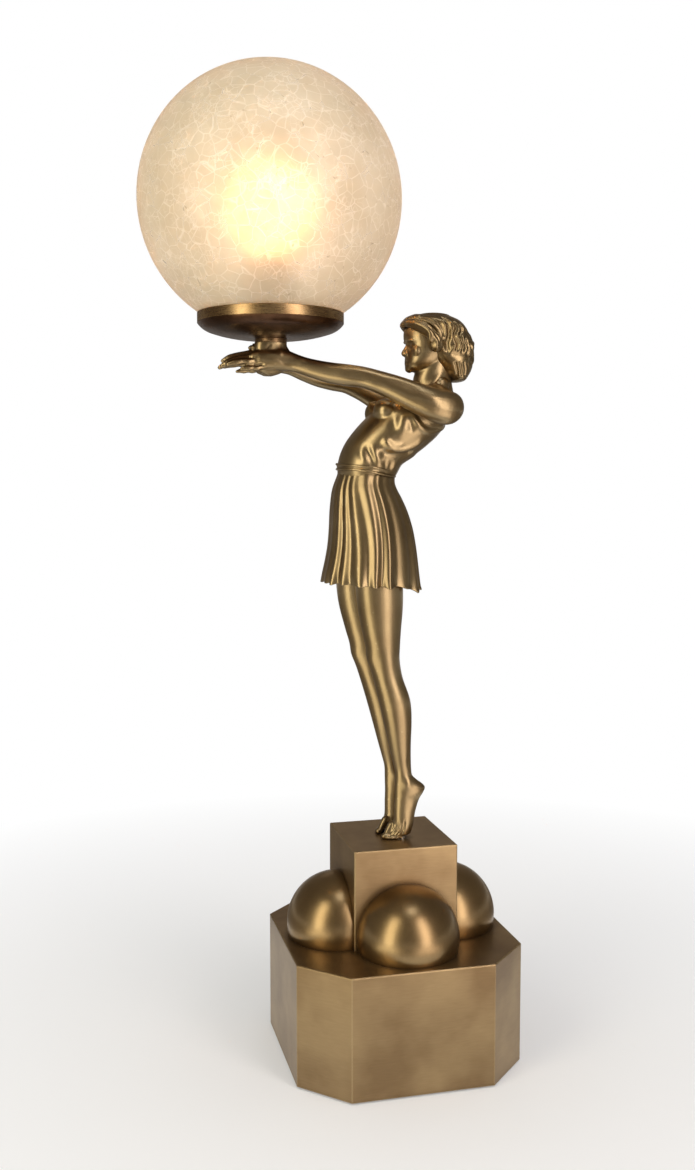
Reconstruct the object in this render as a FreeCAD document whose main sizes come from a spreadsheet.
import FreeCAD, Part
import Sketcher
import math
import os

# Figural table lamp: a bronzed dancer on a stepped base holds up a glass globe light.
# Frame: millimetres, +Z up, origin on the underside at the middle of the base.
# The dancer faces -X, towards the globe; her left side is the -Y side.

Vector = FreeCAD.Vector

SIZES = {
    # base casting, a square with its four corners cut
    "base_width": 136.2,
    "base_corner_cut": 26.0,
    "base_height": 71.6,
    "base_wall": 4.0,
    "base_roof": 5.0,
    "base_edge": 0.7,
    "foot_gap": 1.0,
    # underside
    "felt_thickness": 2.0,
    "felt_margin": 1.5,
    "cover_thickness": 2.5,
    "cover_clearance": 0.4,
    "cover_boss_radius": 5.5,
    "cover_screw_radius": 1.5,
    "cover_screw_length": 12.0,
    "screw_head_height": 1.6,
    "screw_head_ratio": 1.9,
    "thread_clearance": 0.05,
    "hole_clearance": 0.3,
    # ballast and wiring inside the base
    "ballast_radius": 43.0,
    "ballast_height": 24.0,
    "ballast_bore_radius": 12.0,
    "ballast_screw_circle": 30.0,
    "terminal_length": 22.0,
    "terminal_width": 13.0,
    "terminal_height": 12.0,
    "terminal_offset": 24.0,
    "earth_screw_length": 11.0,
    "earth_tag_radius": 4.0,
    "earth_tag_thickness": 0.8,
    "grip_length": 20.0,
    "grip_width": 9.0,
    "grip_height": 12.0,
    "grip_offset": 53.0,
    "inlet_radius": 3.6,
    "inlet_height": 12.5,
    "grommet_neck_radius": 5.5,
    "grommet_flange_radius": 7.5,
    "grommet_flange": 2.0,
    # pedestal block and the four half balls round it
    "block_width": 63.0,
    "block_height": 59.4,
    "block_wall": 4.0,
    "block_roof": 5.0,
    "block_boss_radius": 5.0,
    "block_boss_height": 16.0,
    "block_screw_radius": 2.0,
    "block_screw_length": 16.0,
    "passage_radius": 8.0,
    "dome_radius": 30.5,
    "dome_rise": 7.7,
    "dome_offset": 34.3,
    "dome_wall": 3.0,
    "dome_post_radius": 5.0,
    # fixings of the feet
    "foot_tube_radius": 3.5,
    "foot_tube_bore": 2.3,
    "foot_tube_depth": 9.0,
    "foot_stud_radius": 2.5,
    "foot_stud_depth": 8.0,
    "foot_fixing_drop": 9.0,
    "foot_fixing_x": 2.6,
    "washer_thickness": 1.0,
    "nut_height": 4.0,
    # legs
    "leg_length": 198.0,
    "left_foot_y": -10.0,
    "right_foot_y": 6.2,
    "right_leg_lead": 6.7,
    "toe_half_length": 7.5,
    "heel_half_length": 9.0,
    "ankle_half_depth": 5.9,
    "calf_half_depth": 9.3,
    "thigh_half_depth": 14.2,
    "hip_half_spread": 11.0,
    # skirt, hips and belt
    "hip_height": 21.0,
    "waist_half_depth": 19.2,
    "hem_half_depth": 30.9,
    "hem_drop": 44.0,
    "skirt_wall": 2.0,
    "fold_count": 15,
    "fold_depth": 2.1,
    "waist_offset": 15.2,
    "belt_height": 4.6,
    "belt_proud": 1.1,
    # bodice, head and hair
    "chest_half_breadth": 25.0,
    "shoulder_rise": 42.0,
    "shoulder_back": 41.2,
    "shoulder_half_breadth": 29.0,
    "neck_radius": 10.6,
    "head_half_depth": 17.0,
    "head_height": 50.0,
    "hair_half_depth": 21.5,
    # arms and hands
    "upper_arm_half": 11.6,
    "elbow_half": 7.3,
    "wrist_half": 5.7,
    "palm_half": 8.8,
    "hand_length": 33.0,
    "hand_seam": 0.15,
    "reach_height": 292.9,
    "gallery_reach": 73.2,
    # gallery that carries the globe
    "collar_radius": 9.2,
    "collar_height": 2.4,
    "stem_radius": 5.0,
    "stem_bore": 3.0,
    "stem_depth": 7.0,
    "dish_depth": 8.7,
    "dish_wall": 1.6,
    "ledge_width": 8.0,
    "rim_radius": 42.0,
    "rim_height": 5.5,
    "rim_wall": 1.5,
    "gasket_thickness": 1.0,
    "gasket_width": 5.0,
    "seat_gap": 0.3,
    # lampholder for a small screw cap
    "holder_radius": 13.0,
    "holder_wall": 1.8,
    "holder_cap_height": 12.0,
    "holder_sleeve_height": 33.0,
    "holder_floor": 3.0,
    "core_gap": 0.3,
    "core_floor_height": 12.0,
    "screw_shell_wall": 0.5,
    "screw_shell_height": 22.0,
    "contact_radius": 2.4,
    "contact_height": 2.4,
    # golf ball bulb
    "cap_radius": 6.95,
    "cap_clearance": 0.1,
    "cap_height": 21.5,
    "cap_wall": 0.4,
    "bulb_radius": 22.5,
    "bulb_length": 78.0,
    "bulb_glass": 0.8,
    "tip_radius": 2.4,
    "tip_height": 1.2,
    "filament_radius": 7.0,
    # glass globe
    "globe_radius": 75.0,
    "globe_wall": 2.6,
    "globe_neck_clearance": 0.8,
    # lead through the figure
    "lead_radius": 1.7,
    "lead_clearance": 0.4,
}

os.makedirs("parts", exist_ok=True)
doc = FreeCAD.newDocument("figural_table_lamp")
sheet = doc.addObject("Spreadsheet::Sheet", "Sizes")
for row, (alias, amount) in enumerate(SIZES.items(), start=1):
    sheet.set(f"A{row}", alias)
    sheet.set(f"B{row}", str(amount))
    sheet.setAlias(f"B{row}", alias)
doc.recompute()

# Levels and places worked out from the sheet, as expressions.
PLATE_TOP = "(Sizes.felt_thickness + Sizes.cover_thickness)"
BASE_TOP = "(Sizes.foot_gap + Sizes.base_height)"
ROOF_UNDER = f"({BASE_TOP} - Sizes.base_roof)"
BLOCK_TOP = f"({BASE_TOP} + Sizes.block_height)"
BLOCK_CEILING = f"({BLOCK_TOP} - Sizes.block_roof)"
BALLAST_TOP = f"({PLATE_TOP} + Sizes.ballast_height)"
HIP = f"({BLOCK_TOP} + Sizes.leg_length)"
WAIST = f"({HIP} + Sizes.hip_height)"
SHOULDER = f"({WAIST} + Sizes.shoulder_rise)"
SHOULDER_X = "(Sizes.shoulder_back - Sizes.waist_offset)"
COLLAR_UNDER = f"({BLOCK_TOP} + Sizes.reach_height)"
DISH_UNDER = f"({COLLAR_UNDER} + Sizes.collar_height)"
LEDGE = f"({DISH_UNDER} + Sizes.dish_depth)"
RIM_TOP = f"({LEDGE} + Sizes.rim_height)"
AXIS_X = "(-Sizes.gallery_reach)"
HOLDER_UNDER = f"({DISH_UNDER} + Sizes.dish_wall)"
CORE_UNDER = f"({HOLDER_UNDER} + Sizes.holder_floor + Sizes.core_gap)"
SOCKET_FLOOR = f"({CORE_UNDER} + Sizes.core_floor_height)"
BULB_TIP = f"({SOCKET_FLOOR} + Sizes.contact_height)"
GLOBE_CENTRE = (
    f"({RIM_TOP} + Sizes.seat_gap"
    " + sqrt(Sizes.globe_radius^2 - (Sizes.rim_radius - Sizes.rim_wall)^2))"
)
BOSS_REACH = (
    "(Sizes.base_width / 2 - Sizes.base_corner_cut / 2"
    " - (Sizes.base_wall + Sizes.cover_boss_radius * 0.7) / sqrt(2))"
)
BLOCK_BOSS_REACH = "(Sizes.block_width / 2 - Sizes.block_wall - Sizes.block_boss_radius * 0.8)"
SCREW_HOLE = "(Sizes.cover_screw_radius + Sizes.thread_clearance)"

NODES = []


def number(expression):
    """Value of an expression of sheet sizes."""
    return float(sheet.evalExpression(str(expression)))


def point(x, y, z):
    """Point from three expressions."""
    return Vector(number(x), number(y), number(z))


def keep(item, label):
    """Enter an object as a sub-part of the lamp."""
    item.Label = label
    NODES.append(item)
    return item


def place(item, x="0", y="0", z="0", turn="rotation(0; 0; 0)"):
    """Tie an object's placement to expressions."""
    item.setExpression("Placement", f"placement(vector({x}; {y}; {z}); {turn})")
    return item


def box(name, length, width, height, x="0", y="0", z="0"):
    """Box centred on x and y, standing on z."""
    item = doc.addObject("Part::Box", name)
    item.setExpression("Length", length)
    item.setExpression("Width", width)
    item.setExpression("Height", height)
    return place(item, f"({x}) - ({length}) / 2", f"({y}) - ({width}) / 2", z)


def cylinder(name, radius, height, x="0", y="0", z="0", turn="rotation(0; 0; 0)"):
    """Cylinder that starts at a point and runs along its turned Z."""
    item = doc.addObject("Part::Cylinder", name)
    item.setExpression("Radius", radius)
    item.setExpression("Height", height)
    return place(item, x, y, z, turn)


def sphere(name, radius, x="0", y="0", z="0"):
    """Ball about a point."""
    item = doc.addObject("Part::Sphere", name)
    item.setExpression("Radius", radius)
    return place(item, x, y, z)


def fuse(name, *items):
    """Union of several objects."""
    item = doc.addObject("Part::MultiFuse", name)
    item.Shapes = list(items)
    return item


def cut(name, base, *tools):
    """Base with every tool cut away."""
    item = doc.addObject("Part::Cut", name)
    item.Base = base
    item.Tool = tools[0] if len(tools) == 1 else fuse(f"{name}_tools", *tools)
    return item


def body(name, x="0", y="0", z="0", turn="rotation(0; 0; 0)"):
    """Empty body at a place."""
    return place(doc.addObject("PartDesign::Body", name), x, y, z, turn)


def sketch(owner, name, role="XY_Plane", lift="0"):
    """Sketch on one of its body's origin planes, lifted along the plane's normal."""
    drawing = owner.newObject("Sketcher::SketchObject", name)
    plane = next(item for item in owner.Origin.OriginFeatures if item.Role == role)
    drawing.AttachmentSupport = (plane, [""])
    drawing.MapMode = "FlatFace"
    drawing.setExpression("AttachmentOffset", f"placement(vector(0; 0; {lift}); rotation(0; 0; 0))")
    return drawing


def hold(drawing, geometry, spot, x, y):
    """Fix one point of a sketch at expressions of x and y."""
    for kind, axis, expression in (("DistanceX", -2, x), ("DistanceY", -1, y)):
        if abs(number(expression)) < 1e-9:
            drawing.addConstraint(Sketcher.Constraint("PointOnObject", geometry, spot, axis))
            continue
        distance = Sketcher.Constraint(kind, -1, 1, geometry, spot, number(expression))
        index = drawing.addConstraint(distance)
        drawing.setExpression(f"Constraints[{index}]", expression)


def outline(drawing, corners):
    """Closed outline in a sketch.

    A corner is (x, y), or (x, y, radius) where an arc leads to the next corner: a positive
    radius bulges to the right of the way, a negative one to the left.
    """
    spots = [Vector(number(corner[0]), number(corner[1]), 0) for corner in corners]
    count = len(corners)
    for index, corner in enumerate(corners):
        start, end = spots[index], spots[(index + 1) % count]
        if len(corner) == 2:
            drawing.addGeometry(Part.LineSegment(start, end))
            continue
        radius = number(corner[2])
        half = (end - start).Length / 2
        side = Vector(end.y - start.y, start.x - end.x, 0).normalize()
        drop = math.copysign(math.sqrt(radius**2 - half**2), radius)
        centre = (start + end) / 2 - side * drop
        first, last = (start, end) if radius > 0 else (end, start)
        angles = [math.atan2(spot.y - centre.y, spot.x - centre.x) for spot in (first, last)]
        circle = Part.Circle(centre, Vector(0, 0, 1), abs(radius))
        drawing.addGeometry(Part.ArcOfCircle(circle, *angles))
    joints = [
        (1, 2) if (edge.StartPoint - spot).Length < 1e-6 else (2, 1)
        for edge, spot in zip(drawing.Geometry, spots)
    ]
    for index, corner in enumerate(corners):
        following = (index + 1) % count
        near = joints[following][0]
        drawing.addConstraint(
            Sketcher.Constraint("Coincident", index, joints[index][1], following, near)
        )
        hold(drawing, following, near, *corners[following][:2])
        if len(corner) > 2:
            radius = Sketcher.Constraint("Radius", index, abs(number(corner[2])))
            constraint = drawing.addConstraint(radius)
            drawing.setExpression(f"Constraints[{constraint}]", f"abs({corner[2]})")


def ring(drawing, radius, x="0", y="0"):
    """Circle in a sketch."""
    centre = Vector(number(x), number(y), 0)
    index = drawing.addGeometry(Part.Circle(centre, Vector(0, 0, 1), number(radius)))
    hold(drawing, index, 3, x, y)
    constraint = drawing.addConstraint(Sketcher.Constraint("Radius", index, number(radius)))
    drawing.setExpression(f"Constraints[{constraint}]", radius)


def pad(owner, name, drawing, length):
    """Material added above a sketch."""
    feature = owner.newObject("PartDesign::Pad", name)
    feature.Profile = drawing
    feature.setExpression("Length", length)
    doc.recompute()
    return feature


def pocket(owner, name, drawing, depth, upward=True):
    """Material taken away above a sketch, or below it."""
    feature = owner.newObject("PartDesign::Pocket", name)
    feature.Profile = drawing
    feature.Reversed = upward
    feature.setExpression("Length", depth)
    before = feature.BaseFeature.Shape.Volume
    doc.recompute()
    if feature.Shape.Volume > before - 1e-3:
        raise RuntimeError(f"{name} cuts nothing")
    return feature


def soften(owner, name, feature, radius, picked):
    """Rounded edges, chosen by a test on each edge."""
    edges = [f"Edge{i}" for i, edge in enumerate(feature.Shape.Edges, start=1) if picked(edge)]
    rounding = owner.newObject("PartDesign::Fillet", name)
    rounding.Base = (feature, edges)
    rounding.setExpression("Radius", radius)
    doc.recompute()
    return rounding


def turned(name, corners, x="0", y="0", z="0"):
    """Body turned about a vertical axis from an outline of radius and height."""
    owner = body(name, x, y, z)
    drawing = sketch(owner, f"{name}_profile", "XZ_Plane")
    outline(drawing, corners)
    doc.recompute()
    feature = owner.newObject("PartDesign::Revolution", f"{name}_turned")
    feature.Profile = drawing
    feature.ReferenceAxis = (drawing, ["V_Axis"])
    feature.Angle = 360
    doc.recompute()
    return owner


def tube_corners(inner, outer, height, bottom="0"):
    """Outline of a plain ring."""
    top = f"({bottom}) + ({height})"
    return [(inner, bottom), (outer, bottom), (outer, top), (inner, top)]


def octagon(inset):
    """Corners of the base's outline, drawn in by an inset all round."""
    half = f"(Sizes.base_width / 2 - ({inset}))"
    near = f"({half} - Sizes.base_corner_cut + ({inset}) * (2 - sqrt(2)))"
    corners = []
    for turn, (sx, sy) in enumerate(((1, 1), (-1, 1), (-1, -1), (1, -1))):
        pair = [(f"{sx} * {half}", f"{sy} * {near}"), (f"{sx} * {near}", f"{sy} * {half}")]
        corners += pair if turn % 2 == 0 else pair[::-1]
    return corners


def corner_places(reach):
    """The four places on the diagonals."""
    return [(f"{sx} * {reach}", f"{sy} * {reach}") for sx, sy in ((1, 1), (-1, 1), (-1, -1), (1, -1))]


def side_places(reach):
    """The four places on the axes: right, rear, left and front."""
    return [(reach, "0"), ("0", reach), (f"-{reach}", "0"), ("0", f"-{reach}")]


def loft(name, sections, across=False):
    """Solid through ellipses.

    A section is (x, y, z, half width, flatness, lean): the half width lies along X, or along Y
    where across is set, and the lean tips the section about Y, in degrees.
    """
    rings = []
    for index, (x, y, z, half, flatness, lean) in enumerate(sections):
        ellipse = doc.addObject("Part::Ellipse", f"{name}_section_{index}")
        ellipse.setExpression("MajorRadius", str(half))
        ellipse.setExpression("MinorRadius", f"({half}) * {flatness}")
        turn = f"rotation(90; 0; {lean})" if across else f"rotation(0; {lean}; 0)"
        rings.append(place(ellipse, x, y, z, turn))
    item = doc.addObject("Part::Loft", name)
    item.Sections = rings
    item.Solid = True
    return item


def bolts(name, places, under, radius, length, down=False):
    """Screws with cheese heads, one at each place, as separate solids.

    The heads stand on the level under and the shanks run up from it, or down where down is set.
    """
    head = f"({radius}) * Sizes.screw_head_ratio"
    rise = "Sizes.screw_head_height"
    solids = []
    for index, (x, y) in enumerate(places):
        shank_from = f"({under}) - ({length})" if down else f"({under}) + {rise}"
        shank = cylinder(f"{name}_shank_{index}", radius, length, x, y, shank_from)
        cap = cylinder(f"{name}_head_{index}", head, rise, x, y, under)
        solids.append(fuse(f"{name}_{index}", shank, cap))
    return group(name, solids)


def group(name, solids):
    """Several separate solids in one sub-part."""
    item = doc.addObject("Part::Compound", name)
    item.Links = solids
    return item


def hexagon(name, radius, height, x, y, z):
    """Six-sided prism, radius measured to its corners."""
    item = doc.addObject("Part::Prism", name)
    item.Polygon = 6
    item.setExpression("Circumradius", radius)
    item.setExpression("Height", height)
    return place(item, x, y, z)


# ---------------------------------------------------------------- base

def make_underside():
    """Felt, cover plate and the screws that hold it."""
    felt = body("felt_body")
    drawing = sketch(felt, "felt_outline")
    outline(drawing, octagon("Sizes.base_wall + Sizes.felt_margin"))
    pad(felt, "felt_sheet", drawing, "Sizes.felt_thickness")
    keep(felt, "felt_pad")

    plate = body("cover_body", z="Sizes.felt_thickness")
    drawing = sketch(plate, "cover_outline")
    outline(drawing, octagon("Sizes.base_wall + Sizes.cover_clearance"))
    pad(plate, "cover_sheet", drawing, "Sizes.cover_thickness")
    shanks = sketch(plate, "cover_screw_holes")
    heads = sketch(plate, "cover_head_recesses")
    head = "Sizes.cover_screw_radius * Sizes.screw_head_ratio + Sizes.hole_clearance"
    for x, y in COVER_SCREWS + BALLAST_SCREWS:
        ring(shanks, "Sizes.cover_screw_radius + Sizes.hole_clearance", x, y)
        ring(heads, head, x, y)
    for x, y in GRIP_SCREWS:
        ring(shanks, SCREW_HOLE, x, y)
    pocket(plate, "cover_holes", shanks, "Sizes.cover_thickness")
    pocket(plate, "cover_recesses", heads, "Sizes.screw_head_height")
    keep(plate, "base_cover_plate")

    radius = "Sizes.cover_screw_radius"
    under = "Sizes.felt_thickness"
    keep(bolts("cover_bolts", COVER_SCREWS, under, radius, "Sizes.cover_screw_length"), "cover_screws")
    keep(bolts("ballast_bolts", BALLAST_SCREWS, under, radius, "Sizes.cover_screw_length"),
         "ballast_screws")


def make_base_shell():
    """Hollow eight-sided casting with its screw bosses and holes."""
    shell = body("shell_body", z="Sizes.foot_gap")
    drawing = sketch(shell, "shell_outline")
    outline(drawing, octagon("0"))
    block = pad(shell, "shell_block", drawing, "Sizes.base_height")
    top = number("Sizes.base_height")
    soften(shell, "shell_edges", block, "Sizes.base_edge",
           lambda edge: max(vertex.Z for vertex in edge.Vertexes) > top - 0.01)
    drawing = sketch(shell, "shell_inside")
    outline(drawing, octagon("Sizes.base_wall"))
    pocket(shell, "shell_hollow", drawing, "Sizes.base_height - Sizes.base_roof")
    drawing = sketch(shell, "boss_rings", lift=f"{PLATE_TOP} - Sizes.foot_gap")
    for x, y in COVER_SCREWS:
        ring(drawing, "Sizes.cover_boss_radius", x, y)
    pad(shell, "bosses", drawing, f"{ROOF_UNDER} - {PLATE_TOP}")
    drawing = sketch(shell, "boss_bores", lift=f"{PLATE_TOP} - Sizes.foot_gap")
    for x, y in COVER_SCREWS:
        ring(drawing, SCREW_HOLE, x, y)
    pocket(shell, "boss_holes", drawing, "Sizes.cover_screw_length")
    drawing = sketch(shell, "roof_rings", lift="Sizes.base_height - Sizes.base_roof")
    ring(drawing, "Sizes.passage_radius")
    for x, y in BLOCK_SCREWS + DOME_PLACES:
        ring(drawing, "Sizes.block_screw_radius + Sizes.hole_clearance", x, y)
    pocket(shell, "roof_holes", drawing, "Sizes.base_roof")
    drawing = sketch(shell, "inlet_ring", "XZ_Plane")
    neck = "Sizes.grommet_neck_radius + Sizes.thread_clearance"
    ring(drawing, neck, "0", "Sizes.inlet_height - Sizes.foot_gap")
    pocket(shell, "inlet_hole", drawing, "Sizes.base_width", upward=False)
    keep(shell, "base_shell")


def make_ballast():
    """Iron ring that steadies the lamp, with the terminals on top of it."""
    ring_body = turned(
        "ballast_ring",
        tube_corners("Sizes.ballast_bore_radius", "Sizes.ballast_radius", "Sizes.ballast_height"),
        z=PLATE_TOP,
    )
    holes = [
        cylinder(f"ballast_hole_{i}", SCREW_HOLE, "Sizes.cover_screw_length", x, y, PLATE_TOP)
        for i, (x, y) in enumerate(BALLAST_SCREWS)
    ]
    depth = "Sizes.earth_screw_length"
    for name, (x, y) in (("terminal_tapping", TERMINAL_PLACE), ("earth_tapping", EARTH_PLACE)):
        holes.append(cylinder(name, SCREW_HOLE, depth, x, y, f"{BALLAST_TOP} - {depth}"))
    keep(cut("ballast", ring_body, *holes), "ballast_weight")

    x, y = TERMINAL_PLACE
    porcelain = box("terminal_box", "Sizes.terminal_length", "Sizes.terminal_width",
                    "Sizes.terminal_height", x, y, BALLAST_TOP)
    fixing = cylinder("terminal_fixing_hole", "Sizes.cover_screw_radius + Sizes.hole_clearance",
                      "Sizes.terminal_height", x, y, BALLAST_TOP)
    entries = [
        cylinder(f"terminal_entry_{side}", f"Sizes.lead_radius + {CLEAR}", "Sizes.terminal_width",
                 f"{side} * {TERMINAL_PITCH}", f"{y} - Sizes.terminal_width / 2", TERMINAL_LEVEL,
                 ALONG_Y)
        for side in (-1, 1)
    ]
    keep(cut("terminal", porcelain, fixing, *entries), "terminal_block")
    keep(
        bolts("terminal_bolt", [TERMINAL_PLACE], f"{BALLAST_TOP} + Sizes.terminal_height",
              "Sizes.cover_screw_radius", "Sizes.terminal_height + Sizes.earth_screw_length - 1",
              down=True),
        "terminal_screw",
    )
    x, y = EARTH_PLACE
    tag = cylinder("earth_ring", "Sizes.earth_tag_radius", "Sizes.earth_tag_thickness",
                   x, y, BALLAST_TOP)
    tab = box("earth_tab", "Sizes.earth_tag_radius * 2", "Sizes.earth_tag_radius",
              "Sizes.earth_tag_thickness", f"{x} + Sizes.earth_tag_radius", y, BALLAST_TOP)
    hole = cylinder("earth_hole", "Sizes.cover_screw_radius + Sizes.thread_clearance",
                    "Sizes.earth_tag_thickness", x, y, BALLAST_TOP)
    keep(cut("earth", fuse("earth_blank", tag, tab), hole), "earth_tag")
    keep(
        bolts("earth_bolt", [EARTH_PLACE], f"{BALLAST_TOP} + Sizes.earth_tag_thickness",
              "Sizes.cover_screw_radius", "Sizes.earth_screw_length", down=True),
        "earth_screw",
    )


def make_inlet():
    """Rear cord inlet: a grommet in the wall and a grip bar behind it."""
    inner_wall = "(Sizes.base_width / 2 - Sizes.base_wall)"
    neck = cylinder("grommet_neck", "Sizes.grommet_neck_radius", "Sizes.base_wall",
                    "0", inner_wall, "Sizes.inlet_height", ALONG_Y)
    outer = cylinder("grommet_outer", "Sizes.grommet_flange_radius", "Sizes.grommet_flange",
                     "0", "Sizes.base_width / 2", "Sizes.inlet_height", ALONG_Y)
    inner = cylinder("grommet_inner", "Sizes.grommet_flange_radius", "Sizes.grommet_flange",
                     "0", f"{inner_wall} - Sizes.grommet_flange", "Sizes.inlet_height", ALONG_Y)
    bore = cylinder("grommet_bore", "Sizes.inlet_radius", "Sizes.base_wall + 2 * Sizes.grommet_flange",
                    "0", f"{inner_wall} - Sizes.grommet_flange", "Sizes.inlet_height", ALONG_Y)
    keep(cut("grommet", fuse("grommet_blank", neck, outer, inner), bore), "cord_inlet_grommet")

    bar = box("grip_bar", "Sizes.grip_length", "Sizes.grip_width", "Sizes.grip_height",
              "0", "Sizes.grip_offset", PLATE_TOP)
    tunnel = cylinder("grip_tunnel", "Sizes.inlet_radius", "Sizes.grip_width", "0",
                      "Sizes.grip_offset - Sizes.grip_width / 2", "Sizes.inlet_height", ALONG_Y)
    holes = [
        cylinder(f"grip_hole_{i}", "Sizes.cover_screw_radius + Sizes.hole_clearance",
                 "Sizes.grip_height", x, y, PLATE_TOP)
        for i, (x, y) in enumerate(GRIP_SCREWS)
    ]
    keep(cut("grip", bar, tunnel, *holes), "cord_grip")
    keep(
        bolts("grip_bolts", GRIP_SCREWS, f"{PLATE_TOP} + Sizes.grip_height",
              "Sizes.cover_screw_radius", f"Sizes.grip_height + Sizes.cover_thickness - {CLEAR}",
              down=True),
        "cord_grip_screws",
    )


# ---------------------------------------------------------------- pedestal

def make_block():
    """Hollow square block on the base, open below, with a boss in each corner."""
    block = body("block_body", z=BASE_TOP)
    drawing = sketch(block, "block_outline")
    half = "Sizes.block_width / 2"
    outline(drawing, corner_places(half))
    solid = pad(block, "block_solid", drawing, "Sizes.block_height")
    top = number("Sizes.block_height")
    soften(block, "block_edges", solid, "Sizes.base_edge",
           lambda edge: max(vertex.Z for vertex in edge.Vertexes) > top - 0.01)
    drawing = sketch(block, "block_inside")
    outline(drawing, corner_places(f"({half} - Sizes.block_wall)"))
    pocket(block, "block_hollow", drawing, "Sizes.block_height - Sizes.block_roof")
    drawing = sketch(block, "block_boss_rings")
    for x, y in BLOCK_SCREWS:
        ring(drawing, "Sizes.block_boss_radius", x, y)
    pad(block, "block_bosses", drawing, "Sizes.block_boss_height")
    drawing = sketch(block, "block_boss_bores")
    for x, y in BLOCK_SCREWS:
        ring(drawing, "Sizes.block_screw_radius + Sizes.thread_clearance", x, y)
    pocket(block, "block_boss_holes", drawing, BLOCK_SCREW_REACH)
    drawing = sketch(block, "foot_rings", lift="Sizes.block_height - Sizes.block_roof")
    ring(drawing, "Sizes.foot_tube_radius + Sizes.thread_clearance", *TUBE_PLACE)
    ring(drawing, "Sizes.foot_stud_radius + Sizes.thread_clearance", *STUD_PLACE)
    pocket(block, "foot_holes", drawing, "Sizes.block_roof")
    keep(block, "pedestal_block")
    keep(bolts("block_bolts", BLOCK_SCREWS, f"{ROOF_UNDER} - Sizes.screw_head_height",
               "Sizes.block_screw_radius", "Sizes.block_screw_length"), "block_screws")


def make_domes():
    """Four half balls against the block's faces, each on a post with a screw from below."""
    centre = f"{BASE_TOP} + Sizes.dome_rise"
    width = "Sizes.base_width"
    for name, (x, y) in zip(DOME_NAMES, DOME_PLACES):
        outer = sphere(f"{name}_outer", "Sizes.dome_radius", x, y, centre)
        inner = sphere(f"{name}_inner", "Sizes.dome_radius - Sizes.dome_wall", x, y, centre)
        height = "Sizes.dome_rise + Sizes.dome_radius - Sizes.dome_wall / 2"
        post = cylinder(f"{name}_post", "Sizes.dome_post_radius", height, x, y, BASE_TOP)
        below = box(f"{name}_below", width, width, width, "0", "0", f"{BASE_TOP} - {width}")
        block = box(f"{name}_block", "Sizes.block_width", "Sizes.block_width", width,
                    "0", "0", BASE_TOP)
        hole = cylinder(f"{name}_hole", "Sizes.block_screw_radius + Sizes.thread_clearance",
                        BLOCK_SCREW_REACH, x, y, BASE_TOP)
        shell = fuse(f"{name}_shell", cut(f"{name}_hollow", outer, inner), post)
        keep(cut(f"{name}_cast", shell, below, block, hole), name)
    keep(bolts("dome_bolts", DOME_PLACES, f"{ROOF_UNDER} - Sizes.screw_head_height",
               "Sizes.block_screw_radius", "Sizes.block_screw_length"), "dome_screws")


def make_foot_fixings():
    """Hollow tube under the left foot for the lead, stud under the right, washers and nuts."""
    under = f"{BLOCK_CEILING} - Sizes.foot_fixing_drop"
    drop = "Sizes.foot_fixing_drop + Sizes.block_roof"
    tube = turned("foot_tube_body",
                  tube_corners("Sizes.foot_tube_bore", "Sizes.foot_tube_radius",
                               f"{drop} + Sizes.foot_tube_depth"), *TUBE_PLACE, under)
    keep(tube, "left_foot_tube")
    keep(cylinder("foot_stud_rod", "Sizes.foot_stud_radius", f"{drop} + Sizes.foot_stud_depth",
                  *STUD_PLACE, under), "right_foot_stud")
    washers = []
    for name, radius, (x, y) in (
        ("tube", "Sizes.foot_tube_radius", TUBE_PLACE),
        ("stud", "Sizes.foot_stud_radius", STUD_PLACE),
    ):
        bore = f"{radius} + Sizes.thread_clearance"
        level = f"{BLOCK_CEILING} - Sizes.washer_thickness"
        disc = cylinder(f"{name}_disc", f"{radius} * 1.9", "Sizes.washer_thickness", x, y, level)
        hole = cylinder(f"{name}_disc_hole", bore, "Sizes.washer_thickness", x, y, level)
        washers.append(cut(f"{name}_washer", disc, hole))
        low = f"{level} - Sizes.nut_height"
        blank = hexagon(f"{name}_hexagon", f"{radius} * 1.8", "Sizes.nut_height", x, y, low)
        thread = cylinder(f"{name}_nut_hole", bore, "Sizes.nut_height", x, y, low)
        keep(cut(f"{name}_nut", blank, thread), f"foot_{name}_nut")
    keep(group("washers", washers), "foot_washers")


# ---------------------------------------------------------------- figure

# Share of the leg's length above the block, place along X, driving size, factor, flatness.
LEG = (
    (0.0, -0.1, "toe_half_length", 1.0, 0.84),
    (0.02, 1.0, "toe_half_length", 0.93, 0.88),
    (0.055, 3.4, "toe_half_length", 0.85, 0.88),
    (0.095, 5.1, "heel_half_length", 0.77, 0.74),
    (0.13, 6.8, "heel_half_length", 0.91, 0.62),
    (0.159, 7.6, "heel_half_length", 1.0, 0.56),
    (0.183, 5.5, "heel_half_length", 0.78, 0.7),
    (0.211, 3.7, "ankle_half_depth", 1.0, 0.84),
    (0.246, 2.5, "ankle_half_depth", 1.0, 0.88),
    (0.271, 2.1, "ankle_half_depth", 1.09, 0.9),
    (0.347, 0.4, "calf_half_depth", 0.89, 0.92),
    (0.427, -2.0, "calf_half_depth", 1.0, 0.9),
    (0.487, -5.2, "calf_half_depth", 1.0, 0.9),
    (0.553, -8.2, "calf_half_depth", 1.02, 0.92),
    (0.641, -9.9, "thigh_half_depth", 0.83, 0.83),
    (0.729, -10.9, "thigh_half_depth", 1.0, 0.7),
    (0.849, -12.5, "thigh_half_depth", 0.9, 0.76),
    (1.0, -15.0, "thigh_half_depth", 0.7, 0.84),
)
THIGH_SHARE = 0.729


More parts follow.
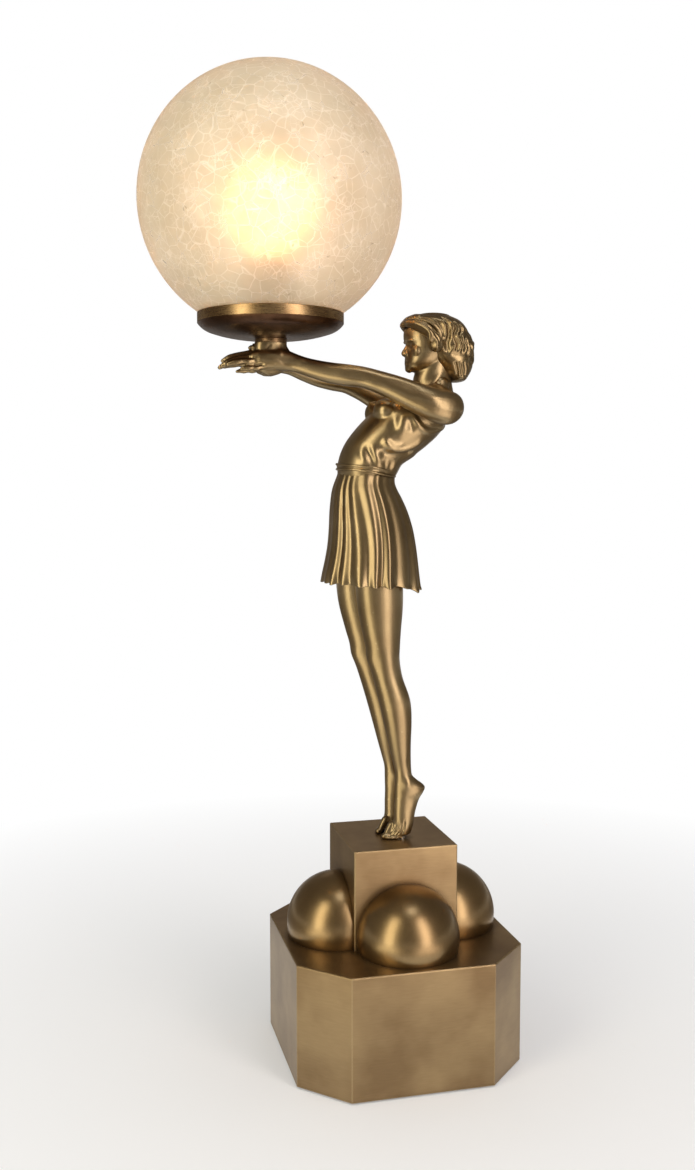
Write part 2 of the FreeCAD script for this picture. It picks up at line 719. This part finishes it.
def leg_place(share, x, side):
    """Place of a leg's axis; the right leg leads, most of all at mid thigh."""
    foot, sign = (("Sizes.left_foot_y", -1), ("Sizes.right_foot_y", 1))[side]
    lead = (0.22 + 0.78 * min(share / THIGH_SHARE, 1.0) ** 2) * side
    lead *= 1.0 - 1.5 * max(share - THIGH_SHARE, 0.0)
    return (
        f"{x} - {lead} * Sizes.right_leg_lead",
        f"{foot} + ({sign} * Sizes.hip_half_spread - {foot}) * {share}",
        f"{BLOCK_TOP} + {share} * Sizes.leg_length",
    )


def make_legs(channel):
    """Two legs on tiptoe, cast with their feet; gives back their uncut forms."""
    forms = []
    for side, name in enumerate(("left_leg", "right_leg")):
        sections = [
            (*leg_place(share, x, side), f"Sizes.{driver} * {factor}", flatness, 0)
            for share, x, driver, factor, flatness in LEG
        ]
        limb = loft(f"{name}_form", sections)
        forms.append(limb)
        if side == 0:
            socket = cylinder("left_foot_socket", "Sizes.foot_tube_radius + Sizes.thread_clearance",
                              "Sizes.foot_tube_depth", *TUBE_PLACE, BLOCK_TOP)
            keep(cut("left_leg_cast", limb, socket, channel), name)
        else:
            socket = cylinder("right_foot_socket", "Sizes.foot_stud_radius + Sizes.thread_clearance",
                              "Sizes.foot_stud_depth", *STUD_PLACE, BLOCK_TOP)
            keep(cut("right_leg_cast", limb, socket), name)
    return forms


# Share of the drop from the waist to the hem, place along X, share of the hem's half depth,
# half breadth over half depth, share of the full depth of the folds.
SKIRT = (
    (0.0, -15.2, 0.618, 0.98, 0.0),
    (0.14, -17.0, 0.645, 1.05, 0.15),
    (0.34, -15.2, 0.775, 1.03, 0.45),
    (0.62, -13.4, 0.885, 1.01, 0.75),
    (0.84, -13.3, 0.955, 1.01, 0.95),
    (1.0, -13.6, 1.0, 1.0, 1.0),
)
SKIRT_STEPS = 4


def skirt_ring(share, x, spread, breadth, depth, inset=0.0):
    """Closed curve round the skirt at one level, with its folds."""
    half = number("Sizes.hem_half_depth") * spread - inset
    fold = number("Sizes.fold_depth") * depth if inset == 0 else 0.0
    level = number(WAIST) - share * (number("Sizes.hip_height") + number("Sizes.hem_drop"))
    count = int(number("Sizes.fold_count"))
    spots = []
    for step in range(count * SKIRT_STEPS):
        angle = 2 * math.pi * step / (count * SKIRT_STEPS)
        wave = fold * (math.cos(count * angle) - 1)
        reach = half + wave
        spots.append(Vector(x + reach * math.cos(angle), reach * breadth * math.sin(angle), level))
    curve = Part.BSplineCurve()
    curve.interpolate(spots, PeriodicFlag=True)
    return Part.Wire([curve.toShape()])


def make_skirt(channel, legs):
    """Short gathered skirt: solid over the hips, a folded shell round the thighs below them."""
    outer = doc.addObject("Part::Feature", "skirt_outer")
    outer.Shape = Part.makeLoft([skirt_ring(*row) for row in SKIRT], True, False)
    drop = "(Sizes.hip_height + Sizes.hem_drop)"
    wall = "(2 * Sizes.fold_depth + Sizes.skirt_wall)"
    hollow_sections = []
    for level, x, spread, depth in (
        (f"{HIP}", -15.4, 0.76, 0.42),
        (f"{WAIST} - 0.62 * {drop}", -13.6, 0.885, 0.75),
        (f"{WAIST} - 0.84 * {drop}", -13.4, 0.955, 0.95),
        (f"{WAIST} - {drop}", -13.6, 1.0, 1.0),
    ):
        inset = f"(2 * Sizes.fold_depth * {depth} + Sizes.skirt_wall)"
        hollow_sections.append((x, "0", level, f"Sizes.hem_half_depth * {spread} - {inset}", 0.99, 0))
    hollow = loft("skirt_hollow", hollow_sections)
    keep(cut("skirt_cast", outer, hollow, channel, *legs), "skirt")
    return outer


# Rise above the waist as a share of the rise to the shoulders, place along X, share of the
# driving half breadth, half depth over half breadth, lean back in degrees.
BODICE = (
    (0.0, -15.2, 0.77, 0.98, 0),
    (0.25, -10.2, 0.83, 0.89, 20),
    (0.49, -1.2, 0.94, 0.81, 32),
    (0.76, 11.0, 1.04, 0.76, 38),
    (0.99, 21.5, 1.1, 0.52, 42),
    (1.12, 26.0, 0.76, 0.5, 44),
)


def make_bodice(channel):
    """Sleeveless bodice with the trunk in it, leaning back."""
    sections = [
        (x, "0", f"{WAIST} + {share} * Sizes.shoulder_rise", f"Sizes.chest_half_breadth * {breadth}",
         flatness, lean)
        for share, x, breadth, flatness, lean in BODICE
    ]
    trunk = loft("bodice_form", sections, across=True)
    keep(cut("bodice_cast", trunk, channel), "bodice")
    return trunk


def make_belt(trunk, skirt):
    """Narrow belt over the seam of bodice and skirt."""
    half = "Sizes.waist_half_depth + Sizes.belt_proud"
    rise = "Sizes.belt_height / 2"
    band = loft("belt_band", [
        ("-Sizes.waist_offset - 0.9", "0", f"{WAIST} - {rise}", half, 0.98, -3),
        ("-Sizes.waist_offset", "0", WAIST, half, 0.98, -3),
        ("-Sizes.waist_offset + 1.4", "0", f"{WAIST} + {rise}", half, 0.98, -3),
    ])
    keep(cut("belt_cast", band, trunk, skirt), "waist_belt")


# Share of the head's height above the shoulders, place along X from the shoulders, share of
# the driving half depth, flatness.
NECK = (
    (-0.12, -3.4, 0.98, 0.9),
    (0.1, -1.8, 1.0, 0.86),
    (0.26, -1.7, 1.06, 0.82),
    (0.46, -1.6, 1.12, 0.82),
)
HEAD = (
    (0.3, -8.6, 0.4, 0.86),
    (0.35, -6.4, 0.64, 0.84),
    (0.44, -4.4, 0.86, 0.84),
    (0.56, -2.8, 0.97, 0.86),
    (0.7, -1.0, 1.0, 0.87),
    (0.84, 0.4, 0.9, 0.87),
    (0.94, 1.4, 0.7, 0.88),
    (1.0, 2.0, 0.4, 0.9),
)
HAIR = (
    (0.25, 7.0, 0.47, 0.94),
    (0.32, 5.4, 0.68, 0.94),
    (0.44, 4.4, 0.86, 0.92),
    (0.58, 3.4, 0.97, 0.92),
    (0.72, 2.0, 1.0, 0.92),
    (0.85, 1.0, 0.91, 0.92),
    (0.94, 0.6, 0.73, 0.93),
    (1.01, 0.2, 0.48, 0.94),
    (1.04, 0.2, 0.24, 0.95),
)


def make_head(trunk):
    """Head with its neck, and the bobbed hair that covers it."""
    forms = []
    for name, rows, driver in (
        ("neck", NECK, "neck_radius"),
        ("head", HEAD, "head_half_depth"),
        ("hair", HAIR, "hair_half_depth"),
    ):
        sections = [
            (f"{SHOULDER_X} + {x}", "0", f"{SHOULDER} + {share} * Sizes.head_height",
             f"Sizes.{driver} * {spread}", flatness, 0)
            for share, x, spread, flatness in rows
        ]
        forms.append(loft(f"{name}_form", sections))
    nose = sphere("nose_tip", "Sizes.head_half_depth * 0.12",
                  f"{SHOULDER_X} - 2.8 - Sizes.head_half_depth * 0.97", "0",
                  f"{SHOULDER} + 0.54 * Sizes.head_height")
    neck, skull, bob = forms
    face = fuse("head_blank", neck, skull, nose)
    keep(cut("head_cast", face, trunk), "head")
    keep(cut("hair_cast", bob, face), "hair")


# Share of the way from the shoulder to the wrist, driving size, factor, flatness.
ARM = (
    (-0.13, "upper_arm_half", 0.55, 0.7),
    (-0.08, "upper_arm_half", 0.86, 0.8),
    (0.0, "upper_arm_half", 1.0, 0.82),
    (0.13, "upper_arm_half", 0.97, 0.8),
    (0.21, "upper_arm_half", 0.86, 0.84),
    (0.35, "upper_arm_half", 0.69, 0.92),
    (0.455, "elbow_half", 0.97, 0.95),
    (0.66, "elbow_half", 1.0, 0.92),
    (0.88, "wrist_half", 1.05, 0.92),
    (1.0, "wrist_half", 1.0, 0.92),
)
# Share of the hand's length past the axis of the gallery, drop of the axis below the collar,
# driving size, factor, flatness.
HAND = (
    (-0.28, 10.4, "palm_half", 0.95, 0.78),
    (-0.04, 8.6, "palm_half", 1.0, 0.78),
    (0.18, 8.4, "palm_half", 0.92, 0.8),
    (0.36, 8.0, "palm_half", 0.55, 1.0),
    (0.62, 9.4, "palm_half", 0.43, 1.0),
    (0.85, 12.6, "palm_half", 0.26, 1.0),
)
ARM_ARCH = 3.4
ELBOW_OUT = 3.0


def arm_place(share, sign):
    """Place of an arm's axis between shoulder and wrist, a little arched up and out."""
    bend = math.sin(math.pi * min(max(share, 0.0), 1.0))
    shoulder = (f"({SHOULDER_X} - 6)", "(Sizes.shoulder_half_breadth - 1)", f"({SHOULDER} - 5)")
    wrist = (f"({AXIS_X} + 16)", "(Sizes.palm_half + 0.5)", f"({COLLAR_UNDER} - 14.9)")
    x, y, z = (f"{start} + ({end} - {start}) * {share}" for start, end in zip(shoulder, wrist))
    return x, f"{sign} * ({y} + {ELBOW_OUT * bend})", f"{z} + {ARM_ARCH * bend}"


def make_arms(trunk, channel):
    """Two arms reaching forward, cast with hands that cup the foot of the gallery."""
    width = "Sizes.base_width"
    for sign, name in ((-1, "left_arm"), (1, "right_arm")):
        sections = [
            (*arm_place(share, sign), f"Sizes.{driver} * {factor}", flatness, -90)
            for share, driver, factor, flatness in ARM
        ]
        for share, drop, driver, factor, flatness in HAND:
            y = f"{sign} * Sizes.palm_half * {0.77 if factor > 0.9 else 0.72}"
            sections.append((f"{AXIS_X} - {share} * Sizes.hand_length", y,
                             f"{COLLAR_UNDER} - {drop}", f"Sizes.{driver} * {factor}", flatness, -90))
        limb = loft(f"{name}_form", sections)
        above = box(f"{name}_above", width, width, width, AXIS_X, "0", COLLAR_UNDER)
        beyond = box(f"{name}_beyond", width, width, width, AXIS_X,
                     f"{-sign} * ({width} / 2 - Sizes.hand_seam)", f"{COLLAR_UNDER} - {width} / 2")
        socket = cylinder(f"{name}_socket", "Sizes.stem_radius + Sizes.thread_clearance",
                          "Sizes.stem_depth", AXIS_X, "0", f"{COLLAR_UNDER} - Sizes.stem_depth")
        keep(cut(f"{name}_cast", limb, trunk, above, beyond, socket, channel), name)


# ---------------------------------------------------------------- light

def make_gallery():
    """Collar, hollow stem, dish, rim and seat ring of the globe."""
    keep(turned("collar", tube_corners(STEM_HOLE, "Sizes.collar_radius", "Sizes.collar_height"),
                AXIS_X, "0", COLLAR_UNDER), "gallery_collar")
    length = (
        "Sizes.stem_depth + Sizes.collar_height + Sizes.dish_wall + Sizes.holder_floor"
    )
    keep(turned("stem", tube_corners("Sizes.stem_bore", "Sizes.stem_radius", length),
                AXIS_X, "0", f"{COLLAR_UNDER} - Sizes.stem_depth"), "gallery_stem")
    edge = "Sizes.rim_radius"
    seat = f"({edge} - Sizes.ledge_width)"
    flat = "(Sizes.collar_radius + 1.2)"
    dish = [
        (STEM_HOLE, "0"),
        (flat, "0", f"({edge} * 1.9)"),
        (f"({edge} * 0.857)", "Sizes.dish_depth * 0.48", f"({edge} * 0.286)"),
        (edge, "Sizes.dish_depth"),
        (seat, "Sizes.dish_depth"),
        (seat, "Sizes.dish_depth - Sizes.dish_wall / 2", f"-({DISH_CURVE} - Sizes.dish_wall)"),
        ("Sizes.holder_radius + 1", "Sizes.dish_wall"),
        (STEM_HOLE, "Sizes.dish_wall"),
    ]
    keep(turned("dish", dish, AXIS_X, "0", DISH_UNDER), "gallery_dish")
    keep(turned("rim", tube_corners(f"({edge} - Sizes.rim_wall)", edge, "Sizes.rim_height"),
                AXIS_X, "0", LEDGE), "gallery_rim")
    outer = f"({edge} - Sizes.rim_wall)"
    keep(turned("gasket", tube_corners(f"({outer} - Sizes.gasket_width)", outer,
                                       "Sizes.gasket_thickness"), AXIS_X, "0", LEDGE), "seat_ring")


def make_lampholder():
    """Screw lampholder: cap, insulating core, sleeve, screw shell and centre contact."""
    cap_height = "Sizes.holder_cap_height"
    outer = "Sizes.holder_radius"
    inner = "(Sizes.holder_radius - Sizes.holder_wall)"
    cap = [
        (STEM_HOLE, "0"), (outer, "0"), (outer, cap_height), (inner, cap_height),
        (inner, "Sizes.holder_floor"), (STEM_HOLE, "Sizes.holder_floor"),
    ]
    keep(turned("holder_cup", cap, AXIS_X, "0", HOLDER_UNDER), "holder_cap")
    keep(turned("sleeve", tube_corners(inner, outer, "Sizes.holder_sleeve_height"),
                AXIS_X, "0", f"{HOLDER_UNDER} + {cap_height}"), "holder_sleeve")
    core_out = f"({inner} - {CLEAR})"
    bore = "(Sizes.cap_radius + Sizes.cap_clearance + Sizes.screw_shell_wall)"
    depth = "Sizes.core_floor_height"
    height = f"({depth} + Sizes.screw_shell_height + 2)"
    core = [
        ("Sizes.stem_bore", "0"), (core_out, "0"), (core_out, height), (bore, height),
        (bore, depth), ("Sizes.stem_bore", depth),
    ]
    keep(turned("core", core, AXIS_X, "0", CORE_UNDER), "holder_core")
    shell = tube_corners(f"({bore} - Sizes.screw_shell_wall)", bore, "Sizes.screw_shell_height")
    keep(turned("screw_liner", shell, AXIS_X, "0", SOCKET_FLOOR), "screw_shell")
    contact = [
        ("0", "-2"), ("Sizes.stem_bore", "-2"), ("Sizes.stem_bore", "0"),
        ("Sizes.contact_radius * 1.9", "0"), ("Sizes.contact_radius * 1.9", "0.6"),
        ("Sizes.contact_radius", "Sizes.contact_height"), ("0", "Sizes.contact_height"),
    ]
    keep(turned("contact", contact, AXIS_X, "0", SOCKET_FLOOR), "centre_contact")


def make_bulb():
    """Golf ball bulb: tip, insulator, cap, envelope, stem and filament."""
    tip = "Sizes.tip_radius"
    low = "Sizes.tip_height"
    rim = f"({low} + 1.6)"
    cap_top = f"({rim} + Sizes.cap_height)"
    cap_in = "(Sizes.cap_radius - Sizes.cap_wall)"
    neck = f"({cap_in} - 0.3)"
    shoulder = "(Sizes.cap_radius * 0.75)"
    keep(turned("tip", [("0", "0"), (tip, "0"), (tip, low), ("0", low)], AXIS_X, "0", BULB_TIP),
         "bulb_tip_contact")
    insulator = [
        ("0", low), (tip, low), (shoulder, rim), (shoulder, f"{rim} + Sizes.cap_wall"),
        (cap_in, f"{rim} + Sizes.cap_wall"), (cap_in, f"{rim} + 2.4"), ("0", f"{rim} + 2.4"),
    ]
    keep(turned("insulator", insulator, AXIS_X, "0", BULB_TIP), "bulb_insulator")
    cap = [
        (shoulder, rim), ("Sizes.cap_radius", rim), ("Sizes.cap_radius", cap_top), (cap_in, cap_top),
        (cap_in, f"{rim} + Sizes.cap_wall"), (shoulder, f"{rim} + Sizes.cap_wall"),
    ]
    keep(turned("bulb_screw_cap", cap, AXIS_X, "0", BULB_TIP), "bulb_cap")
    centre = "(Sizes.bulb_length - Sizes.bulb_radius)"
    glass = "Sizes.bulb_glass"
    throat = "(Sizes.bulb_radius * 0.56)"
    throat_z = f"({centre} - sqrt(Sizes.bulb_radius^2 - {throat}^2))"
    inside = f"(Sizes.bulb_radius - {glass})"
    inner_throat = f"({throat} - {glass})"
    inner_z = f"({centre} - sqrt({inside}^2 - {inner_throat}^2))"
    start = f"({cap_top} - 4)"
    envelope = [
        (f"({neck} - {glass})", start), (neck, start), (neck, cap_top),
        (throat, throat_z, "Sizes.bulb_radius"), ("0", "Sizes.bulb_length"),
        ("0", f"Sizes.bulb_length - {glass}", f"-{inside}"), (inner_throat, inner_z),
        (f"({neck} - {glass})", cap_top),
    ]
    keep(turned("envelope", envelope, AXIS_X, "0", BULB_TIP), "bulb_glass")
    foot = f"({neck} - {glass})"
    rod = f"({centre} - 8)"
    mount = [
        ("0", start), (foot, start), (foot, f"{start} + 2"), ("2", f"{start} + 5"),
        ("2", rod), ("0", rod),
    ]
    stem = turned("mount_rod", mount, AXIS_X, "0", BULB_TIP)
    keep(stem, "bulb_stem")
    loop = doc.addObject("Part::Torus", "filament_loop")
    loop.setExpression("Radius1", "Sizes.filament_radius")
    loop.setExpression("Radius2", "0.5")
    place(loop, AXIS_X, "0", f"{BULB_TIP} + {centre}")
    wires = [
        cylinder(f"filament_wire_{i}", "0.4", "10.25",
                 f"{AXIS_X} + {side} * 1.2", "0", f"{BULB_TIP} + {rod} - 0.01",
                 f"rotation(0; {side} * 37; 0)")
        for i, side in enumerate((-1, 1))
    ]
    blank = fuse("filament_blank", loop, *wires)
    keep(cut("filament", blank, stem), "bulb_filament")


def make_globe():
    """Glass globe with a short neck that stands in the rim of the gallery."""
    neck_radius = "(Sizes.rim_radius - Sizes.rim_wall - Sizes.globe_neck_clearance)"
    neck_under = f"({LEDGE} + Sizes.gasket_thickness + Sizes.seat_gap)"
    outer = sphere("globe_outer", "Sizes.globe_radius", AXIS_X, "0", GLOBE_CENTRE)
    inner = sphere("globe_inner", "Sizes.globe_radius - Sizes.globe_wall", AXIS_X, "0", GLOBE_CENTRE)
    neck = cylinder("globe_neck", neck_radius, f"{GLOBE_CENTRE} - {neck_under}",
                    AXIS_X, "0", neck_under)
    mouth = cylinder("globe_mouth", f"{neck_radius} - Sizes.globe_wall", "Sizes.globe_radius + 1",
                     AXIS_X, "0", f"{GLOBE_CENTRE} - Sizes.globe_radius - 1")
    keep(cut("globe", fuse("globe_blank", outer, neck), inner, mouth), "glass_globe")


# ---------------------------------------------------------------- lead

def routed(spots):
    """Path of straight runs joined by tangent arcs, each as large as its runs allow."""
    edges = []
    here = spots[0]
    for before, corner, after in zip(spots, spots[1:], spots[2:]):
        way_in = (corner - before).normalize()
        way_out = (after - corner).normalize()
        half_turn = way_in.getAngle(way_out) / 2
        reach = 0.45 * min((corner - before).Length, (after - corner).Length)
        radius = reach / math.tan(half_turn)
        start, end = corner - way_in * reach, corner + way_out * reach
        inward = (way_out - way_in).normalize()
        middle = corner + inward * (radius / math.cos(half_turn) - radius)
        edges.append(Part.LineSegment(here, start).toShape())
        edges.append(Part.Arc(start, middle, end).toShape())
        print(f"lead arc radius {radius:.1f} turn {math.degrees(2 * half_turn):.0f}")
        here = end
    edges.append(Part.LineSegment(here, spots[-1]).toShape())
    return Part.Wire(edges)


def tube(name, path, radius):
    """Round solid along a path."""
    start = path.Edges[0]
    way = start.tangentAt(start.FirstParameter)
    rim = Part.Wire([Part.Circle(start.Vertexes[0].Point, way, radius).toShape()])
    item = doc.addObject("Part::Feature", name)
    item.Shape = path.makePipeShell([rim], True, False)
    print(f"{name} volume {item.Shape.Volume:.0f} length x section"
          f" {path.Length * math.pi * radius**2:.0f}")
    return item


def lead_route():
    """Corners of the lead's way from the terminals, up the left leg and out along the arm."""
    x, y = TERMINAL_PLACE
    face = f"{y} - Sizes.terminal_width / 2"
    entry = f"-{TERMINAL_PITCH}"
    tube_x, tube_y = TUBE_PLACE
    route = [
        (entry, f"{face} + 3", TERMINAL_LEVEL),
        (entry, f"{face} - 6", TERMINAL_LEVEL),
        ("-3.5", "3", f"{TERMINAL_LEVEL} + 8"),
        ("-1", "0", f"({TERMINAL_LEVEL} + {BASE_TOP}) / 2 + 2"),
        ("0.5", "-2.5", f"{BASE_TOP}"),
        ("2", "-7", f"{BASE_TOP} + 20"),
        (tube_x, tube_y, f"{BLOCK_CEILING} - 18"),
        (tube_x, tube_y, f"{BLOCK_TOP} + Sizes.foot_tube_depth + 3"),
    ]
    for share, shift in ((0.14, -2.6), (0.23, 0.0), (0.35, 0.0), (0.49, 0.4), (0.63, 0.0), (0.8, 0.0)):
        route.append(leg_place(share, f"({leg_axis(share)} + {shift})", 0))
    route += [
        ("-15", "-Sizes.hip_half_spread", f"{HIP} - 6"),
        ("-14.5", "-8.5", f"{WAIST} - 5"),
        ("-9", "-5", f"{WAIST} + 0.24 * Sizes.shoulder_rise"),
        ("1", "-4.5", f"{WAIST} + 0.52 * Sizes.shoulder_rise"),
        (f"{SHOULDER_X} - 11", "-7", f"{SHOULDER} - 8"),
        (f"{SHOULDER_X} - 1", "-13.5", f"{SHOULDER} - 4.5"),
        (f"{SHOULDER_X} - 2.5", "-Sizes.shoulder_half_breadth + 4", f"{SHOULDER} - 3.5"),
    ]
    for share in (0.25, 0.45, 0.66, 0.86):
        route.append(arm_place(share, -1))
    route += [
        (f"{AXIS_X} + 14", "-Sizes.palm_half + 1.8", f"{COLLAR_UNDER} - 13.4"),
        (f"{AXIS_X} + 4.5", "-2.2", f"{COLLAR_UNDER} - 12.6"),
        (AXIS_X, "0", f"{COLLAR_UNDER} - 8"),
        (AXIS_X, "0", f"{HOLDER_UNDER} + Sizes.holder_floor"),
    ]
    return route


def leg_axis(share):
    """Place along X of the leg's axis at a share of its length."""
    for low, high in zip(LEG, LEG[1:]):
        if low[0] <= share <= high[0]:
            return low[1] + (high[1] - low[1]) * (share - low[0]) / (high[0] - low[0])
    raise ValueError(share)


CLEAR = "Sizes.core_gap"
ALONG_Y = "rotation(0; 0; -90)"
COVER_SCREWS = corner_places(BOSS_REACH)
BALLAST_SCREWS = [("Sizes.ballast_screw_circle", "0"), ("-Sizes.ballast_screw_circle", "0")]
GRIP_SCREWS = [(f"{side} * Sizes.grip_length * 0.34", "Sizes.grip_offset") for side in (-1, 1)]
TERMINAL_PLACE = ("0", "Sizes.terminal_offset")
TERMINAL_PITCH = "Sizes.terminal_length / 4"
TERMINAL_LEVEL = f"({BALLAST_TOP} + Sizes.terminal_height / 2)"
EARTH_PLACE = ("0", "-Sizes.ballast_screw_circle")
BLOCK_SCREWS = corner_places(BLOCK_BOSS_REACH)
BLOCK_SCREW_REACH = "(Sizes.block_screw_length - Sizes.base_roof + 0.5)"
DOME_PLACES = side_places("Sizes.dome_offset")
DOME_NAMES = ("right_dome", "rear_dome", "left_dome", "front_dome")
TUBE_PLACE = ("Sizes.foot_fixing_x", "Sizes.left_foot_y")
STUD_PLACE = ("Sizes.foot_fixing_x - 1.4", "Sizes.right_foot_y")
STEM_HOLE = "(Sizes.stem_radius + Sizes.thread_clearance)"
DISH_CURVE = "(Sizes.rim_radius * 1.62)"


def build():
    """Make every sub-part, check it and write it out."""
    make_underside()
    make_base_shell()
    make_ballast()
    make_inlet()
    make_block()
    make_domes()
    make_foot_fixings()
    path = routed([point(*spot) for spot in lead_route()])
    keep(tube("lead", path, number("Sizes.lead_radius")), "inner_lead")
    channel = tube("lead_channel", path, number("Sizes.lead_radius + Sizes.lead_clearance"))
    legs = make_legs(channel)
    skirt = make_skirt(channel, legs)
    trunk = make_bodice(channel)
    make_belt(trunk, skirt)
    make_head(trunk)
    make_arms(trunk, channel)
    make_gallery()
    make_lampholder()
    make_bulb()
    make_globe()
    doc.recompute()
    faults = [item.Name for item in doc.Objects if {"Invalid", "Error"} & set(item.State)]
    if faults:
        raise RuntimeError(f"objects failed: {faults}")
    for item in NODES:
        if item.Shape.isNull() or not item.Shape.isValid():
            raise RuntimeError(f"{item.Label} has no valid shape")
    for item in NODES:
        item.Shape.exportStep(f"parts/{item.Label}.step")
        bounds = item.Shape.BoundBox
        print(f"{item.Label}: {len(item.Shape.Solids)} solids, {item.Shape.Volume:.0f} mm3,"
              f" x {bounds.XMin:.1f} {bounds.XMax:.1f} y {bounds.YMin:.1f} {bounds.YMax:.1f}"
              f" z {bounds.ZMin:.1f} {bounds.ZMax:.1f}")


build()
